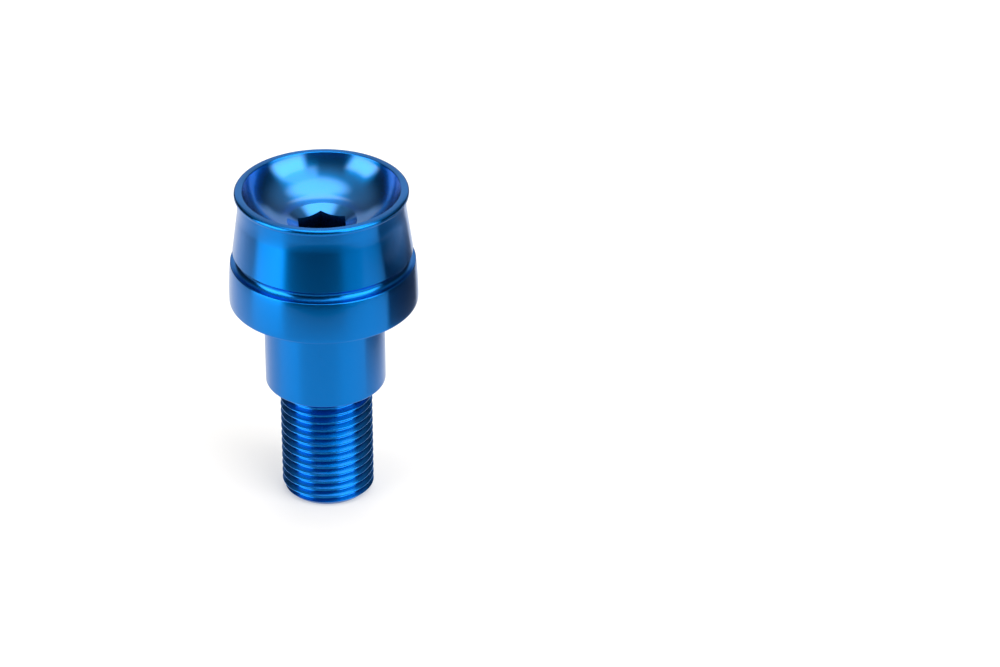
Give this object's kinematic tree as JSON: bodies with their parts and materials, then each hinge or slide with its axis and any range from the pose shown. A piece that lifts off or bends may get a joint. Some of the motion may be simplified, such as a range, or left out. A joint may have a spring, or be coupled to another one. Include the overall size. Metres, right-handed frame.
{
  "type": "handlebar end weight",
  "caption": "Turned one-piece end weight for a motorcycle handlebar: fine thread, plain spigot, skirt, groove, and a tapered head with a dished face and a hexagon socket.",
  "frame": {"origin": "centre of the flat threaded end that the part stands on", "axes": "+Z along the part's axis, from the threaded end to the dished face; X and Y are free, because the part is turned, and the socket's hexagon is clocked 5.4 degrees from them"},
  "size_m": [0.0324, 0.0324, 0.0585],
  "materials": {
    "anodised_aluminium": "blue anodised, satin turned"
  },
  "bodies": {
    "root": {"bar_end": "anodised_aluminium"}
  },
  "joints": []
}
